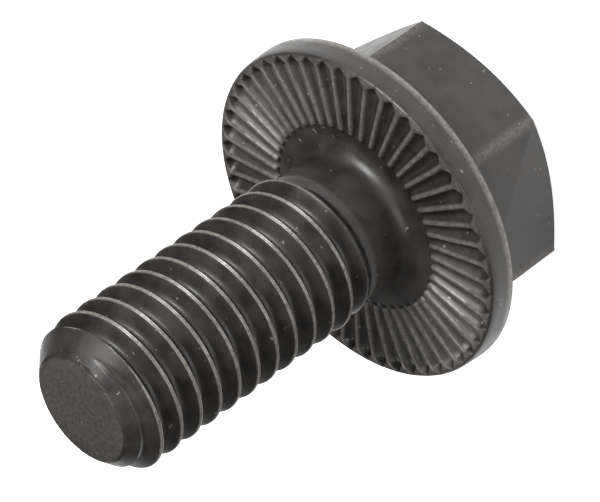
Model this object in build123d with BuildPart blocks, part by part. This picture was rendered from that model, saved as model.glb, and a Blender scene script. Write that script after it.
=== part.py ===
"""Serrated flange bolt, forged and rolled from one piece of steel.

The bolt stands on the end of its head.  The origin is the centre of that
end, +Z runs up through the flange and along the shank to the thread's tip,
and two corners of the hexagon lie on the X axis.
"""
import os
from math import atan2, ceil, cos, degrees, pi, radians, tan

from build123d import *

# ---------------------------------------------------------------------------
# Driving dimensions, in millimetres and degrees
# ---------------------------------------------------------------------------
# Head and flange
head_height = 7.4             # end of the head to the bearing crests
hex_across_flats = 12.85      # spanner size, a little under 13
hex_corner_radius = 0.5       # rounding of the six upright edges
hex_end_diameter = 12.1       # flat circle left on the end by the chamfer
hex_chamfer_angle = 27.0      # slope of that chamfer from the end face
flange_diameter = 17.9        # widest place, at the sharp rim
flange_edge = 1.4             # bearing crests down to the sharp rim
flange_slope = 24.0           # back of the flange, up from level
rim_draft = 0.07              # how far the rim wall leans in at its top
rim_chamfer = 0.14            # broken edge at the top of the rim wall

# Locking serrations pressed into the bearing face
serration_count = 50
serration_margin = 0.22       # from the rim to the points of the grooves
serration_taper = 0.45        # length over which a groove closes in its point
ridge_top = 0.12              # width left standing between two grooves
ridge_height = 0.22           # above the bottom of a groove at its inner end
ring_diameter = 9.9           # smooth ring round the neck
ring_drop = 0.2               # bearing crests down to that ring

# Shank and thread
shank_length = 18.0           # bearing crests to the tip
thread_diameter = 7.85        # over the rolled crests
thread_pitch = 1.25
thread_angle = 60.0           # between the two flanks
crest_width = 0.3             # top of the thread, blunt where the rolled metal meets
neck_diameter = 7.2           # blank that the thread is rolled on
neck_length = 2.3             # bearing crests to the start of the run-out
neck_spread = 0.8             # curve from the neck into the ring
tip_diameter = 5.4            # flat end of the thread
tip_chamfer_angle = 45.0

# ---------------------------------------------------------------------------
# Places worked out from them
# ---------------------------------------------------------------------------
bearing_z = head_height
ring_z = bearing_z - ring_drop
rim_z = bearing_z - flange_edge
tip_z = bearing_z + shank_length
flange_r = flange_diameter / 2
neck_r = neck_diameter / 2
ring_r = ring_diameter / 2
crest_r = thread_diameter / 2
tip_r = tip_diameter / 2
hex_end_r = hex_end_diameter / 2
flat_r = hex_across_flats / 2
corner_r = flat_r / cos(radians(30))
wall_top_r = flange_r - rim_draft
back_z = rim_z - (flange_r - flat_r) * tan(radians(flange_slope))

# The thread swells from the neck to its crest over one turn.
runout_z = bearing_z + neck_length
full_z = runout_z + thread_pitch

# The rod is threaded over-long, by whole turns, and then cut to length.
thread_turns = ceil((tip_z - full_z) / thread_pitch) + 1
over_z = full_z + (thread_turns + 1) * thread_pitch

# Section of the thread's groove.  Its flanks run on a little past the crest,
# and its mouth stands clear above that.
flank_lean = tan(radians(thread_angle / 2))
groove_depth = (thread_pitch - crest_width) / 2 / flank_lean
root_r = crest_r - groove_depth
past_crest = 0.03
mouth_clear = 0.25
mouth_half = (thread_pitch - crest_width) / 2 + past_crest * flank_lean

# Section of a serration, a V whose bottom slopes down from the ring outwards
end_r = flange_r - serration_margin
wide_r = end_r - serration_taper
groove_pitch = 2 * pi / serration_count
flank_slope = ridge_height / ((ring_r * groove_pitch - ridge_top) / 2)
bottom_slope = groove_pitch / 2 * flank_slope
wide_depth = (wide_r * groove_pitch - ridge_top) / 2 * flank_slope
clear_above = ring_drop               # how far the cutter stands above the face
spread = (wide_depth + clear_above) / flank_slope

# ---------------------------------------------------------------------------
# Cutter for one serration: deepens outwards, then closes in a point
# ---------------------------------------------------------------------------
with BuildPart() as serration:
    with BuildSketch(Plane.YZ.offset(wide_r)) as widest:
        Polygon(
            (0, bearing_z - wide_depth),
            (spread, bearing_z + clear_above),
            (-spread, bearing_z + clear_above),
            align=None,
        )
    inward = Vector(-1, 0, bottom_slope)
    extrude(widest.sketch.face(), (wide_r - ring_r + ring_drop) * inward.length, dir=inward)
    outward = Vector(serration_taper, 0, wide_depth)
    extrude(widest.sketch.face(), 2 * outward.length, dir=outward)

# ---------------------------------------------------------------------------
# Cutter for the thread: a V swept along a right-hand helix, which leaves the
# rod along a cone over the last turn and a quarter next to the neck
# ---------------------------------------------------------------------------
runout_length = 1.25 * thread_pitch
runout_angle = degrees(atan2(neck_r - root_r + past_crest, runout_length))

with BuildPart() as thread_groove:
    with BuildLine() as groove_path:
        for turn in range(thread_turns):
            turn_z = full_z + turn * thread_pitch
            Helix(thread_pitch, thread_pitch, root_r, center=(0, 0, turn_z))
        runout = Helix(
            thread_pitch / cos(radians(runout_angle)),
            runout_length,
            root_r,
            center=(0, 0, full_z),
            direction=(0, 0, -1),
            cone_angle=runout_angle,
            mode=Mode.PRIVATE,
        )
        add(runout.rotate(Axis.Z, 180))
    helix = groove_path.wires()[0]
    groove_start = helix @ 0
    away = Vector(groove_start.X, groove_start.Y, 0)
    with BuildSketch(Plane(groove_start, x_dir=away, z_dir=helix % 0)):
        Polygon(
            (0, 0),
            (groove_depth + past_crest, -mouth_half),
            (groove_depth + mouth_clear, -mouth_half),
            (groove_depth + mouth_clear, mouth_half),
            (groove_depth + past_crest, mouth_half),
            align=None,
        )
    sweep(path=helix, is_frenet=True)

# ---------------------------------------------------------------------------
# The bolt, as one solid
# ---------------------------------------------------------------------------
with BuildPart() as flange_bolt:
    # Flange, neck and over-long rod are one profile turned about the axis.
    with BuildSketch(Plane.XZ):
        with BuildLine():
            Polyline(
                (neck_r + neck_spread, ring_z),
                (ring_r, ring_z),
                (ring_r, bearing_z),
                (wall_top_r - rim_chamfer, bearing_z),
                (wall_top_r, bearing_z - rim_chamfer),
                (flange_r, rim_z),
                (flat_r, back_z),
                (0, back_z),
                (0, over_z),
                (crest_r, over_z),
                (crest_r, full_z),
                (neck_r, runout_z),
                (neck_r, ring_z + neck_spread),
            )
            Bezier(
                (neck_r, ring_z + neck_spread),
                (neck_r, ring_z + 0.45 * neck_spread),
                (neck_r + 0.45 * neck_spread, ring_z),
                (neck_r + neck_spread, ring_z),
            )
        make_face()
    revolve(axis=Axis.Z)

    # Thread, cut while the rod is over-long.
    add(thread_groove.part, mode=Mode.SUBTRACT)

    # The tip is cut to length and chamfered.
    with BuildSketch(Plane.XZ):
        with BuildLine():
            Polyline(
                (0, tip_z),
                (tip_r, tip_z),
                (2 * tip_r, tip_z - tip_r * tan(radians(tip_chamfer_angle))),
                (2 * tip_r, over_z + thread_pitch),
                (0, over_z + thread_pitch),
                close=True,
            )
        make_face()
    revolve(axis=Axis.Z, mode=Mode.SUBTRACT)

    # Serrations all round the bearing face.
    with PolarLocations(0, serration_count):
        add(serration.part, mode=Mode.SUBTRACT)

    # The hexagon reaches up into the sloping back of the flange.
    with BuildSketch(Plane.XY) as hexagon:
        RegularPolygon(radius=corner_r, side_count=6)
        fillet(hexagon.vertices(), hex_corner_radius)
    extrude(amount=rim_z)

    # A cone takes the corners of the end down to a flat circle.
    with BuildSketch(Plane.XZ):
        with BuildLine():
            Polyline(
                (hex_end_r, 0),
                (2 * hex_end_r, 0),
                (2 * hex_end_r, hex_end_r * tan(radians(hex_chamfer_angle))),
                close=True,
            )
        make_face()
    revolve(axis=Axis.Z, mode=Mode.SUBTRACT)

flange_bolt.part.label = "flange_bolt"

# ---------------------------------------------------------------------------
# One STEP file for the one piece
# ---------------------------------------------------------------------------
os.makedirs("parts", exist_ok=True)
export_step(flange_bolt.part, "parts/flange_bolt.step")
print(f"thread root diameter {2 * root_r:.2f} mm, volume {flange_bolt.part.volume:.1f} mm3")
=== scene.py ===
# %% [markdown]
# # A blackened flange bolt
# The bolt is one piece of steel: a hexagon, a flange with locking ridges pressed into its
# face, and a short rolled thread.  The solid frame already has its sizes, so this lesson
# reads its box and models the same bolt again with finer edges and a finish.

# %% Load the frame
import math

import bmesh
import bpy
import numpy as np
from mathutils import Matrix, Vector


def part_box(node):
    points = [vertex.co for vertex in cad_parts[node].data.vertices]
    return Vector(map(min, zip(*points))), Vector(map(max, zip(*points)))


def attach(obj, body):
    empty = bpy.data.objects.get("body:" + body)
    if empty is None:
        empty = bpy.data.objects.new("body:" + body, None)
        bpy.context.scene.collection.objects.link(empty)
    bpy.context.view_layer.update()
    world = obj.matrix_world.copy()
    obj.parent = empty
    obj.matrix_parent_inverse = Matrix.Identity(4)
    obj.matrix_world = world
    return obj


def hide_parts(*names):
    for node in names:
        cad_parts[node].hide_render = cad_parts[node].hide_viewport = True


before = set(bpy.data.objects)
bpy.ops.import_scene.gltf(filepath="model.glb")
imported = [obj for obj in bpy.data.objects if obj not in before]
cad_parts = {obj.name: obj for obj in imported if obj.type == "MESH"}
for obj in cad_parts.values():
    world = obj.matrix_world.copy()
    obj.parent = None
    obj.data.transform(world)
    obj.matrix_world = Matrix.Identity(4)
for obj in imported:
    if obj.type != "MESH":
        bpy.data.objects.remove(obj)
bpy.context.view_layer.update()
low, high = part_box("flange_bolt")
print("frame box, mm:", [round(1000 * v, 3) for v in (*low, *high)])

# %% [markdown]
# The frame's box gives the flange's radius and the height of the tip.  The rest are sizes
# of an M8 bolt.  All of them are kept in metres, with one name each.

# %% Sizes of the bolt
MM = 0.001
FLANGE_R = high[0]
TIP_Z = high[2]
BEARING_Z = TIP_Z - 18.0 * MM
RIM_DROP = 1.4 * MM
FLAT_R = 6.425 * MM
CORNER_R = FLAT_R / math.cos(math.radians(30))
END_R = 6.05 * MM
RING_R = 4.95 * MM
NECK_R = 3.6 * MM
CREST_R = 3.925 * MM
ROOT_R = 3.19 * MM
PITCH = 1.25 * MM
TIP_R = 2.7 * MM
print("bearing face at", round(BEARING_Z / MM, 2), "mm")


# %% [markdown]
# Blender's operators act on whatever is selected, so each piece starts from nothing
# selected.  These helpers keep that habit: one clears the selection, one applies a
# modifier, one turns the faces outwards, and one puts a finished piece's place into its
# mesh.  Two more read and write the places of a mesh's points as one array.

# %% Helpers for selecting and finishing
MERGE = 1e-7
ON_PLANE = 1e-8


def clear():
    """Nothing selected, object mode."""
    if bpy.context.object and bpy.context.object.mode != "OBJECT":
        bpy.ops.object.mode_set(mode="OBJECT")
    bpy.ops.object.select_all(action="DESELECT")


def pick(piece):
    """Only this piece selected and active."""
    clear()
    piece.select_set(True)
    bpy.context.view_layer.objects.active = piece


def apply_modifier(piece, kind, **settings):
    """Add one modifier with its settings and apply it at once."""
    modifier = piece.modifiers.new(kind.lower(), kind)
    for key, value in settings.items():
        setattr(modifier, key, value)
    bpy.context.view_layer.objects.active = piece
    bpy.ops.object.modifier_apply(modifier=modifier.name)


def face_outwards(piece):
    """Turn all the piece's faces outwards."""
    pick(piece)
    bpy.ops.object.mode_set(mode="EDIT")
    bpy.ops.mesh.select_all(action="SELECT")
    bpy.ops.mesh.normals_make_consistent(inside=False)
    bpy.ops.object.mode_set(mode="OBJECT")


def finish_piece(piece, name, angle):
    """Name a piece, put its place in its mesh and smooth it below an angle."""
    pick(piece)
    bpy.ops.object.transform_apply(location=True, rotation=True, scale=True)
    bpy.ops.object.shade_smooth_by_angle(angle=math.radians(angle))
    piece.name = name
    piece.data.name = name
    print(name, "faces:", len(piece.data.polygons))


def read_places(mesh):
    """Places of all the points, one row each."""
    places = np.empty(len(mesh.vertices) * 3)
    mesh.vertices.foreach_get("co", places)
    return places.reshape(-1, 3)


def write_places(mesh, places):
    """Put changed places back into the mesh."""
    mesh.vertices.foreach_set("co", places.ravel())
    mesh.update()


# %% [markdown]
# ## The hexagon
# A spanner fits six flat sides whose corners were rounded in the forging die.  A six-sided
# cylinder gives the sides, a bevel rounds its upright edges, and a wide cone, used as a
# lathe tool would be, takes the six corners of the end down to a circle.

# %% Model the hexagon
CORNER_BEVEL = 0.29 * MM
EDGE_BREAK = 0.07 * MM
CHAMFER = math.radians(27)
CHAMFER_SIDES = 360
CONE_DEPTH = 8 * MM


def hexagon_head():
    """Six-sided head with rounded corners and a turned chamfer on its end."""
    clear()
    top = BEARING_Z - RIM_DROP
    bpy.ops.mesh.primitive_cylinder_add(
        vertices=6, radius=CORNER_R, depth=top, location=(0, 0, top / 2),
        rotation=(0, 0, math.radians(90)))
    head = bpy.context.object
    bpy.ops.object.transform_apply(location=True, rotation=True, scale=True)
    bpy.ops.object.mode_set(mode="EDIT")
    bpy.ops.mesh.select_all(action="DESELECT")
    mesh = bmesh.from_edit_mesh(head.data)
    for edge in mesh.edges:
        a, b = (v.co for v in edge.verts)
        upright = abs(a.z - b.z) > top / 2
        edge.select_set(upright)
    bmesh.update_edit_mesh(head.data)
    bpy.ops.mesh.bevel(offset=CORNER_BEVEL, segments=6, affect="EDGES")
    bpy.ops.object.mode_set(mode="OBJECT")

    bpy.ops.mesh.primitive_cone_add(
        vertices=CHAMFER_SIDES, radius1=END_R, radius2=END_R + CONE_DEPTH / math.tan(CHAMFER),
        depth=CONE_DEPTH, location=(0, 0, CONE_DEPTH / 2))
    cone = bpy.context.object
    apply_modifier(head, "BOOLEAN", operation="INTERSECT", object=cone, solver="EXACT")
    bpy.data.objects.remove(cone)
    apply_modifier(head, "BEVEL", width=EDGE_BREAK, segments=2, limit_method="ANGLE",
                   angle_limit=math.radians(22))
    finish_piece(head, "hexagon", 24)
    return head


head = hexagon_head()


# %% [markdown]
# ## The flange
# The flange is a turned shape, so it grows from one circle: each step extrudes the circle
# and scales it to the next place of the profile.  Twelve points to a ridge let the locking
# grooves be pressed in afterwards, as the die does.

# %% Profile of the flange
RIDGES = 50
POINTS_PER_RIDGE = 12
WIDE_R = FLANGE_R - 0.62 * MM
POINT_R = FLANGE_R - 0.17 * MM
RING_Z = BEARING_Z - 0.2 * MM
BACK_Z = BEARING_Z - RIM_DROP - (FLANGE_R - FLAT_R) * math.tan(math.radians(24))
SPREAD = 0.85 * MM
SPREAD_STEPS = 8
LIP = 0.14 * MM
FACE_STEP = 0.262 * MM
POINT_STEP = 0.065 * MM
# Inwards from the flange's edge and down from the bearing face, in millimetres.
RIM = ((0.22, 0.02), (0.14, 0.07), (0.08, 0.18), (0.05, 0.5), (0.02, 1.0), (0, 1.33),
       (0.01, 1.39), (0.07, 1.44))


def flange_profile():
    """Radius and height of each ring, from the neck outwards and round to the back."""
    rings = [(NECK_R, BEARING_Z + 2.0 * MM), (NECK_R, BEARING_Z + 1.3 * MM)]
    for i in range(SPREAD_STEPS + 1):
        turn = math.radians(90 * i / SPREAD_STEPS)
        rings.append((NECK_R + SPREAD * (1 - math.cos(turn)),
                      RING_Z + SPREAD * (1 - math.sin(turn))))
    rings += [(4.7 * MM, RING_Z), (RING_R - 0.08 * MM, RING_Z), (RING_R, RING_Z + 0.02 * MM),
              (RING_R + 0.06 * MM, BEARING_Z - 0.05 * MM), (RING_R + LIP, BEARING_Z)]
    rings += [(RING_R + LIP + FACE_STEP * i, BEARING_Z) for i in range(1, 12)]
    rings += [(WIDE_R + POINT_STEP * i, BEARING_Z) for i in range(6)]
    rings += [(FLANGE_R - inwards * MM, BEARING_Z - down * MM) for inwards, down in RIM]
    rings += [(FLAT_R, BACK_Z), (5.5 * MM, BACK_Z)]
    return rings


# %% Grow the flange ring by ring
def turned_flange():
    """Flange as it comes from the lathe, closed at both ends."""
    rings = flange_profile()
    r, z = rings[0]
    clear()
    bpy.ops.mesh.primitive_circle_add(
        vertices=RIDGES * POINTS_PER_RIDGE, radius=r, location=(0, 0, z), fill_type="NOTHING")
    flange = bpy.context.object
    bpy.ops.object.transform_apply(location=True, rotation=True, scale=True)
    bpy.ops.object.mode_set(mode="EDIT")
    bpy.ops.mesh.select_all(action="SELECT")
    for (r0, z0), (r1, z1) in zip(rings, rings[1:]):
        bpy.ops.mesh.extrude_edges_move(TRANSFORM_OT_translate={"value": (0, 0, z1 - z0)})
        bpy.ops.transform.resize(value=(r1 / r0, r1 / r0, 1), center_override=(0, 0, 0))
    bpy.ops.mesh.edge_face_add()
    bpy.ops.mesh.select_all(action="DESELECT")
    bpy.ops.mesh.select_non_manifold()
    bpy.ops.mesh.edge_face_add()
    bpy.ops.object.mode_set(mode="OBJECT")
    print("turned flange:", len(rings), "rings")
    return flange


# %% [markdown]
# A groove is deepest along its middle and leaves a narrow flat on each ridge.  It deepens
# towards the rim, and past its widest place it closes to a point.

# %% Press the grooves
RIDGE_TOP = 0.13 * MM
GROOVE_INNER = 0.2 * MM
GROOVE_OUTER = 0.36 * MM
GROOVE_ROUND = 1.1


def press_grooves(flange):
    """Lower the points that lie in a groove, more towards its middle and the rim."""
    places = read_places(flange.data)
    height = places[:, 2]
    radius = np.hypot(places[:, 0], places[:, 1])
    turn = np.arctan2(places[:, 1], places[:, 0]) / (2 * math.pi) * RIDGES
    across = np.abs(((turn + 0.5) % 1.0) - 0.5) * 2      # 0 in the groove, 1 on the ridge
    spacing = 2 * math.pi * radius / RIDGES
    closing = np.clip((POINT_R - radius) / (POINT_R - WIDE_R), 0, 1)

    half_width = (spacing - RIDGE_TOP) / 2 * closing
    inside = np.clip(1 - across * spacing / 2 / np.maximum(half_width, 1e-6), 0, 1)
    along = np.minimum((radius - RING_R) / (WIDE_R - RING_R), 1)
    depth = (GROOVE_INNER + (GROOVE_OUTER - GROOVE_INNER) * along) * closing
    lowered = height - depth * np.sin(inside * math.pi / 2) ** GROOVE_ROUND
    floor = np.where(radius < RING_R + 0.1 * MM, RING_Z, 0)
    on_face = (radius > RING_R) & (radius < POINT_R) & (height > BEARING_Z - 0.1 * MM)
    places[:, 2] = np.where(on_face, np.maximum(lowered, floor), height)
    write_places(flange.data, places)
    print("points pressed down:", int(on_face.sum()))


flange = turned_flange()
press_grooves(flange)
face_outwards(flange)
finish_piece(flange, "serrated_flange", 40)


# %% [markdown]
# ## The thread
# A rolled thread is one zigzag profile carried round and up.  The Screw modifier does just
# that: it turns one pitch of the profile about Z and lifts it by the pitch each turn.  The
# rolling leaves a faint seam along the middle of the crest.

# %% One pitch of the thread
ROOT_HALF = 0.11 * MM
ROOT_ROUND = 0.075 * MM
CREST_HALF = 0.1 * MM
CREST_ROUND = 0.05 * MM
SEAM_DEPTH = 0.03 * MM
FLANK_POINTS = 4


def thread_profile():
    """Radius and height of one pitch, root to root, with a faint seam along the crest."""
    low_r, low_z = ROOT_R + ROOT_ROUND, ROOT_HALF * 1.25
    high_r, high_z = CREST_R - CREST_ROUND, PITCH / 2 - CREST_HALF
    points = [(ROOT_R + 0.004 * MM, 0.0), (ROOT_R + 0.02 * MM, ROOT_HALF * 0.6),
              (low_r, low_z)]
    for i in range(1, FLANK_POINTS + 1):
        part = i / FLANK_POINTS
        points.append((low_r + (high_r - low_r) * part, low_z + (high_z - low_z) * part))
    points += [(CREST_R - 0.008 * MM, high_z + 0.035 * MM), (CREST_R, high_z + 0.062 * MM),
               (CREST_R - SEAM_DEPTH, PITCH / 2)]
    mirrored = [(r, PITCH - z) for r, z in points[-2::-1]]
    return points + mirrored


# %% [markdown]
# The rod is screwed a little too long at both ends.  Level cuts give the tip enough rings
# for its cone.  Then the thread's first 1.5 mm are eased in to the plain neck, and every
# point near the tip is brought in to the cone.

# %% Screw the thread, fade it and turn the tip
TURNS = 17
STEPS_PER_TURN = 96
SCREW_START = BEARING_Z + 0.2 * MM - PITCH
SHANK_START = BEARING_Z + 1.0 * MM
FADE_START = BEARING_Z + 2.1 * MM
FADE_LENGTH = 1.5 * MM
SHANK_NECK_R = NECK_R - 0.012 * MM
TIP_RINGS = 15
TIP_RING_STEP = 0.09 * MM
TIP_EDGE = 0.06 * MM
TIP_LAND = 0.05 * MM


def cut_level(height, **clear_side):
    """Cut the whole mesh being edited with a level plane."""
    bpy.ops.mesh.select_all(action="SELECT")
    bpy.ops.mesh.bisect(plane_co=(0, 0, height), plane_no=(0, 0, 1), threshold=ON_PLANE,
                        **clear_side)


def screwed_rod():
    """Threaded rod, cut off at the tip."""
    clear()
    points = thread_profile()
    mesh = bpy.data.meshes.new("threaded_shank")
    mesh.from_pydata([(r, 0, SCREW_START + z) for r, z in points],
                     [(i, i + 1) for i in range(len(points) - 1)], [])
    shank = bpy.data.objects.new("threaded_shank", mesh)
    bpy.context.collection.objects.link(shank)
    pick(shank)
    apply_modifier(shank, "SCREW", axis="Z", screw_offset=PITCH, iterations=TURNS,
                   steps=STEPS_PER_TURN, render_steps=STEPS_PER_TURN,
                   use_merge_vertices=False)
    bpy.ops.object.mode_set(mode="EDIT")
    bpy.ops.mesh.select_all(action="SELECT")
    bpy.ops.mesh.remove_doubles(threshold=MERGE)
    for ring in range(1, TIP_RINGS + 1):
        cut_level(TIP_Z - ring * TIP_RING_STEP)
    cut_level(TIP_Z, clear_outer=True)
    bpy.ops.object.mode_set(mode="OBJECT")
    return shank


def fade_and_point(shank):
    """Ease the first turn out of the neck, and bring the tip in to a cone."""
    places = read_places(shank.data)
    height = places[:, 2]
    radius = np.hypot(places[:, 0], places[:, 1])
    ease = np.clip((height - FADE_START) / FADE_LENGTH, 0, 1)
    ease = ease * ease * (3 - 2 * ease)
    wanted = SHANK_NECK_R + (radius - SHANK_NECK_R) * ease
    cone = np.where(height > TIP_Z - TIP_LAND, TIP_R, TIP_R + TIP_EDGE + TIP_Z - height)
    wanted = np.minimum(wanted, cone)
    places[:, :2] *= (wanted / radius)[:, None]
    write_places(shank.data, places)


def threaded_shank():
    """Screwed thread, run out into the neck and chamfered at the tip."""
    shank = screwed_rod()
    fade_and_point(shank)
    bpy.ops.object.mode_set(mode="EDIT")
    cut_level(SHANK_START, clear_inner=True)
    bpy.ops.mesh.select_all(action="DESELECT")
    bpy.ops.mesh.select_non_manifold()
    bpy.ops.mesh.fill_holes(sides=0)
    bpy.ops.object.mode_set(mode="OBJECT")
    face_outwards(shank)
    finish_piece(shank, "threaded_shank", 40)
    return shank


shank = threaded_shank()


# %% [markdown]
# ## The finish
# Blackened steel is a thin dark skin over bright metal.  It is satin, a little mottled and
# speckled, and rubbed thin at the tip and on the hexagon's corners.  The thread's crests,
# the flange's ridge tops and its rim get a painted highlight in the same lighter colour.
# A few small helpers lay out the nodes.

# %% Helpers for nodes
def noise(tree, vector, scale, detail, place):
    """Noise in three dimensions on a vector."""
    node = tree.nodes.new("ShaderNodeTexNoise")
    node.location = place
    node.inputs["Scale"].default_value = scale
    node.inputs["Detail"].default_value = detail
    tree.links.new(vector, node.inputs["Vector"])
    return node.outputs["Fac"]


def spread_out(tree, value, low_in, high_in, low_out, high_out, place):
    """Map a range of values to another, clamped."""
    node = tree.nodes.new("ShaderNodeMapRange")
    node.location = place
    node.clamp = True
    tree.links.new(value, node.inputs["Value"])
    for key, number in (("From Min", low_in), ("From Max", high_in),
                        ("To Min", low_out), ("To Max", high_out)):
        node.inputs[key].default_value = number
    return node.outputs["Result"]


def combine(tree, operation, a, b, place):
    """One math node on two values or sockets."""
    node = tree.nodes.new("ShaderNodeMath")
    node.operation = operation
    node.location = place
    for socket, value in zip(node.inputs, (a, b)):
        if isinstance(value, bpy.types.NodeSocket):
            tree.links.new(value, socket)
        else:
            socket.default_value = value
    return node.outputs[0]


# %% [markdown]
# One shader group makes the skin for all the pieces.  Coarse and fine noise mottle its
# colour, the peaks of another noise are pale specks, and a mask lets the lighter colour
# through: wear at the tip and the hexagon's corners, and a painted highlight on the
# crests, the ridge tops and the rim.

# %% Shader group of the blackened skin
MOTTLE_SCALE = 900
GRAIN_SCALE = 5200
PATCH_SCALE = 260
SPECK_SCALE = 3300
MOTTLE_SHARE = 0.35
SPECK_SHARE = 0.5
WEAR_AND_HIGHLIGHT_GLOSS = 0.1
GRAIN_HEIGHT = 0.5


def skin_group():
    """Mottled, speckled black skin with a lighter colour mixed in by a mask, for wear and
    painted highlights.
    """
    group = bpy.data.node_groups.new("blackened_skin", "ShaderNodeTree")
    sockets = group.interface
    for name, kind in (("Vector", "NodeSocketVector"), ("Highlight_and_wear", "NodeSocketFloat"),
                       ("Dark", "NodeSocketColor"), ("Bright", "NodeSocketColor")):
        sockets.new_socket(name, in_out="INPUT", socket_type=kind)
    for name, kind in (("Color", "NodeSocketColor"), ("Roughness", "NodeSocketFloat"),
                       ("Height", "NodeSocketFloat")):
        sockets.new_socket(name, in_out="OUTPUT", socket_type=kind)
    start = group.nodes.new("NodeGroupInput")
    start.location = (-1100, 0)
    end = group.nodes.new("NodeGroupOutput")
    place = start.outputs["Vector"]
    mottle = noise(group, place, MOTTLE_SCALE, 4, (-900, 200))
    grain = noise(group, place, GRAIN_SCALE, 3, (-900, 0))
    patches = noise(group, place, PATCH_SCALE, 3, (-900, -200))
    specks = noise(group, place, SPECK_SCALE, 1, (-900, -400))
    specks = spread_out(group, specks, 0.73, 0.78, 0, 1, (-700, -400))

    shade = combine(group, "ADD",
                    spread_out(group, mottle, 0.3, 0.7, 0, 0.16, (-700, 200)),
                    spread_out(group, patches, 0.35, 0.7, 0, 0.06, (-700, -200)), (-550, 100))
    shade = combine(group, "MULTIPLY", shade, MOTTLE_SHARE, (-480, 40))
    # Wear and painted highlight: the mask, broken up by grain, lets the lighter colour
    # through.
    wear_and_highlight = combine(group, "MULTIPLY", start.outputs["Highlight_and_wear"],
                   spread_out(group, grain, 0.3, 0.62, 0.45, 1, (-700, 0)), (-550, -50))
    specks = combine(group, "MULTIPLY", specks, SPECK_SHARE, (-480, -300))
    amount = combine(group, "MAXIMUM", shade, wear_and_highlight, (-420, 0))
    amount = combine(group, "MAXIMUM", amount, specks, (-360, -60))
    tone = group.nodes.new("ShaderNodeMix")
    tone.data_type = "RGBA"
    tone.location = (-200, 200)
    group.links.new(amount, tone.inputs["Factor"])
    group.links.new(start.outputs["Dark"], tone.inputs["A"])
    group.links.new(start.outputs["Bright"], tone.inputs["B"])
    group.links.new(tone.outputs["Result"], end.inputs["Color"])

    gloss = combine(group, "MULTIPLY", wear_and_highlight, WEAR_AND_HIGHLIGHT_GLOSS, (-480, 400))
    rough = spread_out(group, mottle, 0.3, 0.7, 0.36, 0.5, (-700, 400))
    rough = combine(group, "SUBTRACT", rough, gloss, (-300, 400))
    group.links.new(rough, end.inputs["Roughness"])
    bumps = combine(group, "MULTIPLY", grain, GRAIN_HEIGHT, (-480, -500))
    bumps = combine(group, "ADD", bumps, mottle, (-300, -500))
    group.links.new(bumps, end.inputs["Height"])
    return group


skin = skin_group()
print(skin.name, "nodes:", len(skin.nodes))

# %% [markdown]
# Each piece's material is that group on one Principled shader.  Its mask is worked out from
# Object coordinates, since wear and painted highlights lie at known radii and heights.

# %% Material of one piece
DARK = (0.006, 0.0053, 0.0049, 1)
BRIGHT = (0.24, 0.22, 0.20, 1)
BUMP_STRENGTH = 0.25
BUMP_DISTANCE = 0.02 * MM


def black_steel(name, mask):
    """Material of one piece: the skin group, with a mask built from radius and height."""
    material = bpy.data.materials.new(name)
    material.use_nodes = True
    tree = material.node_tree
    shader = tree.nodes["Principled BSDF"]
    where = tree.nodes.new("ShaderNodeTexCoord")
    where.location = (-1300, 0)
    split = tree.nodes.new("ShaderNodeSeparateXYZ")
    split.location = (-1100, 0)
    tree.links.new(where.outputs["Object"], split.inputs[0])
    square = combine(tree, "ADD", combine(tree, "POWER", split.outputs["X"], 2, (-900, 0)),
                     combine(tree, "POWER", split.outputs["Y"], 2, (-900, -100)), (-800, 0))
    radius = combine(tree, "POWER", square, 0.5, (-700, 0))
    group = tree.nodes.new("ShaderNodeGroup")
    group.node_tree = skin
    group.location = (-250, 300)
    group.inputs["Dark"].default_value = DARK
    group.inputs["Bright"].default_value = BRIGHT
    tree.links.new(where.outputs["Object"], group.inputs["Vector"])
    tree.links.new(mask(tree, radius, split.outputs["Z"]), group.inputs["Highlight_and_wear"])
    tree.links.new(group.outputs["Color"], shader.inputs["Base Color"])
    tree.links.new(group.outputs["Roughness"], shader.inputs["Roughness"])
    lift = tree.nodes.new("ShaderNodeBump")
    lift.location = (-50, -200)
    lift.inputs["Strength"].default_value = BUMP_STRENGTH
    lift.inputs["Distance"].default_value = BUMP_DISTANCE
    tree.links.new(group.outputs["Height"], lift.inputs["Height"])
    tree.links.new(lift.outputs["Normal"], shader.inputs["Normal"])
    shader.inputs["Metallic"].default_value = 0.15
    shader.inputs["Specular IOR Level"].default_value = 0.4
    return material


# %% [markdown]
# Each mask says where its piece is lighter: a painted highlight along the thread's crest,
# on top of the flange's ridges and round its rim, and wear over the flat tip and on the
# hexagon's corners.  A mask of 0 leaves the skin whole, and 1 shows the full lighter colour.

# %% Masks
def thread_mask(tree, radius, height):
    """Painted highlight along the crest of the thread, and wear on the flat tip."""
    # Painted highlight along the crest.
    crest = spread_out(tree, radius, CREST_R - 0.075 * MM, CREST_R - 0.01 * MM, 0, 0.62,
                       (-500, 0))
    tip = spread_out(tree, height, TIP_Z - 0.03 * MM, TIP_Z - 0.005 * MM, 0, 0.16,
                     (-500, -200))
    return combine(tree, "MAXIMUM", crest, tip, (-300, 0))


def flange_mask(tree, radius, height):
    """Painted highlight on the tops of the ridges, less towards their points, and round the
    rim.
    """
    # Painted highlight on the ridge tops.
    top = spread_out(tree, height, BEARING_Z - 0.13 * MM, BEARING_Z - 0.005 * MM, 0, 0.4,
                     (-500, 0))
    inner = spread_out(tree, radius, WIDE_R, POINT_R + 0.05 * MM, 1, 0.25, (-500, -100))
    # Painted highlight line round the rim.
    rim = spread_out(tree, radius, FLANGE_R - 0.022 * MM, FLANGE_R - 0.004 * MM, 0, 0.5,
                     (-500, -200))
    beyond_ring = spread_out(tree, radius, RING_R - 0.4 * MM, RING_R, 0, 1, (-500, -300))
    ridge = combine(tree, "MULTIPLY", top, inner, (-400, 0))
    ridge = combine(tree, "MULTIPLY", ridge, beyond_ring, (-350, 0))
    return combine(tree, "MAXIMUM", ridge, rim, (-300, 0))


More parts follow.
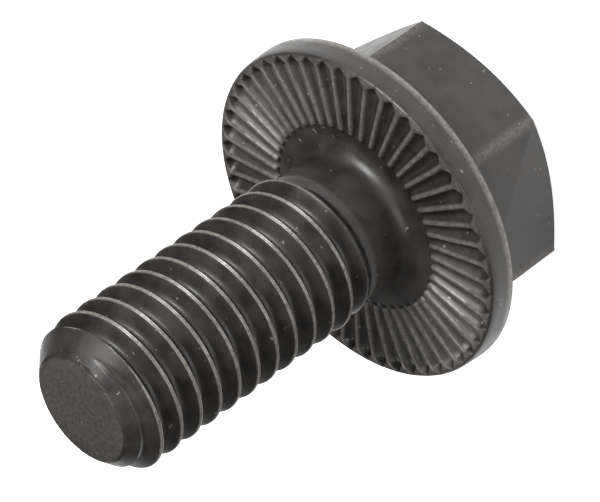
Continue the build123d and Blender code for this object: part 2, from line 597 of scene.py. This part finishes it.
def head_mask(tree, radius, height):
    """Upright corners of the hexagon."""
    return spread_out(tree, radius, CORNER_R - 0.28 * MM, CORNER_R - 0.07 * MM, 0, 0.22,
                      (-500, 0))


# %% Dress the pieces
for piece, mask, name in ((shank, thread_mask, "thread_steel"),
                          (flange, flange_mask, "flange_steel"),
                          (head, head_mask, "hexagon_steel")):
    piece.data.materials.clear()
    piece.data.materials.append(black_steel(name, mask))
    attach(piece, "root")
    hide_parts("flange_bolt")
    print(piece.name, "gets", name)


# %% [markdown]
# ## The stage
# The bolt stands on its head on a plain white floor.  The floor glows for the camera and
# in the metal's reflections, and its diffuse part still takes the bolt's soft shadow.

# %% Floor
FLOOR_SIZE = 6
FLOOR_GLOW = 0.75


def white_floor():
    """White floor that glows only for camera, glossy and transmission rays."""
    clear()
    bpy.ops.mesh.primitive_plane_add(size=FLOOR_SIZE, location=(0, 0, 0))
    floor = bpy.context.object
    floor.name = "floor"
    material = bpy.data.materials.new("white_floor")
    material.use_nodes = True
    tree = material.node_tree
    shader = tree.nodes["Principled BSDF"]
    shader.inputs["Base Color"].default_value = (0.8, 0.8, 0.8, 1)
    shader.inputs["Roughness"].default_value = 0.9
    shader.inputs["Specular IOR Level"].default_value = 0.0
    shader.inputs["Emission Color"].default_value = (1, 1, 1, 1)
    path = tree.nodes.new("ShaderNodeLightPath")
    path.location = (-700, 0)
    seen = combine(tree, "MAXIMUM", path.outputs["Is Glossy Ray"],
                   path.outputs["Is Transmission Ray"], (-500, 0))
    seen = combine(tree, "MAXIMUM", path.outputs["Is Camera Ray"], seen, (-400, 0))
    glow = combine(tree, "MULTIPLY", seen, FLOOR_GLOW, (-300, 0))
    tree.links.new(glow, shader.inputs["Emission Strength"])
    floor.data.materials.append(material)
    print("floor:", FLOOR_SIZE, "m square")


white_floor()

# %% [markdown]
# A dim white sky and three soft lamps light the bolt.  The key lamp stands on the +X side,
# a weaker one on the -Y side, and the third hangs above the tip.

# %% Sky and lamps
AIM = Vector((0, 0, BEARING_Z))


def lamp(name, place, size, power):
    """Square soft lamp at a place in metres, aimed at the flange."""
    data = bpy.data.lights.new(name, "AREA")
    data.size = size
    data.energy = power
    light = bpy.data.objects.new(name, data)
    bpy.context.collection.objects.link(light)
    light.location = place
    light.rotation_euler = (AIM - Vector(place)).to_track_quat("-Z", "Y").to_euler()
    print(name, "at", place, "with", power, "W")


world = bpy.data.worlds.new("sky")
bpy.context.scene.world = world
world.use_nodes = True
sky = world.node_tree.nodes["Background"]
sky.inputs["Color"].default_value = (1, 1, 1, 1)
sky.inputs["Strength"].default_value = 0.16
lamp("key_lamp", (0.33, -0.02, 0.26), 0.16, 3.2)
lamp("front_lamp", (0.02, -0.35, 0.22), 0.22, 0.9)
lamp("top_lamp", (-0.05, 0.1, 0.42), 0.25, 1.0)

# %% [markdown]
# ## The camera
# The bolt is seen from above its tip with a long lens, and the camera is rolled so that the
# thread points down to the left.

# %% Camera
EYE = Vector((88.06, -108.40, 100.34)) * MM
FORWARD = Vector((-0.5303, 0.6542, -0.5393)).normalized()
UP = Vector((0.8303, 0.2720, -0.4865))

camera_data = bpy.data.cameras.new("camera")
camera_data.lens = 210.3
camera_data.sensor_width = 36
camera_data.clip_start = 0.01
camera = bpy.data.objects.new("camera", camera_data)
bpy.context.collection.objects.link(camera)
to_right = FORWARD.cross(UP).normalized()
to_top = to_right.cross(FORWARD)
turn = Matrix((to_right, to_top, -FORWARD)).transposed()
camera.matrix_world = Matrix.Translation(EYE) @ turn.to_4x4()
bpy.context.scene.camera = camera
bpy.context.scene.view_settings.view_transform = "Standard"
print("camera", round(EYE.length / MM), "mm from the bolt's foot")
